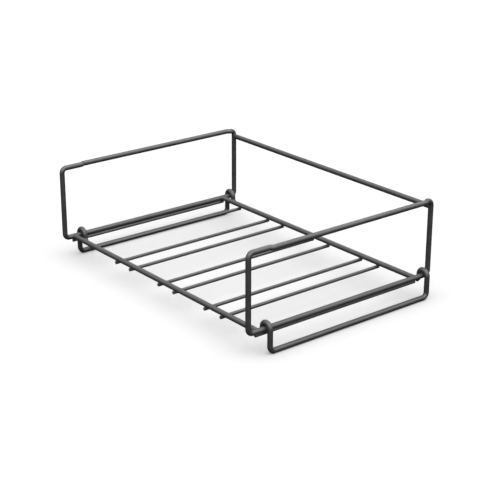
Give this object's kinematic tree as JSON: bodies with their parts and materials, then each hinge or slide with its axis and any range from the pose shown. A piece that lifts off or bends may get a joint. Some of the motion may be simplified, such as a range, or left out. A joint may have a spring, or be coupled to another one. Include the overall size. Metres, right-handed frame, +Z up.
{
  "type": "wine rack",
  "caption": "Low stackable wire rack that holds bottles lying down on slats between two open side frames, on swinging wire feet.",
  "frame": {"origin": "on the floor, under the middle of the rack's bounding box", "axes": "+X to the right across the row of bottles, +Y to the back along the bottles, +Z up"},
  "size_m": [0.3958, 0.2845, 0.1265],
  "materials": {
    "powder_coat": "satin black powder coat, very fine orange-peel texture"
  },
  "bodies": {
    "rack": {"left_side_frame": "powder_coat", "right_side_frame": "powder_coat", "back_top_rail": "powder_coat", "front_cross_bar": "powder_coat", "back_cross_bar": "powder_coat", "left_edge_slat": "powder_coat", "right_edge_slat": "powder_coat", "bay_slat_1": "powder_coat", "bay_slat_2": "powder_coat", "bay_slat_3": "powder_coat", "bay_slat_4": "powder_coat", "bay_slat_5": "powder_coat", "bay_slat_6": "powder_coat", "bay_slat_7": "powder_coat"},
    "left_foot": {"left_foot_loop": "powder_coat"},
    "right_foot": {"right_foot_loop": "powder_coat"}
  },
  "joints": [
    {"name": "left_foot_hinge", "type": "hinge", "parent": "rack", "child": "left_foot", "pos_m": [-0.188, 0, 0.02925], "axis": [0, -1, 0], "range_deg": [0, 22.8]},
    {"name": "right_foot_hinge", "type": "hinge", "parent": "rack", "child": "right_foot", "pos_m": [0.188, 0, 0.02925], "axis": [0, 1, 0], "range_deg": [0, 22.8]}
  ]
}
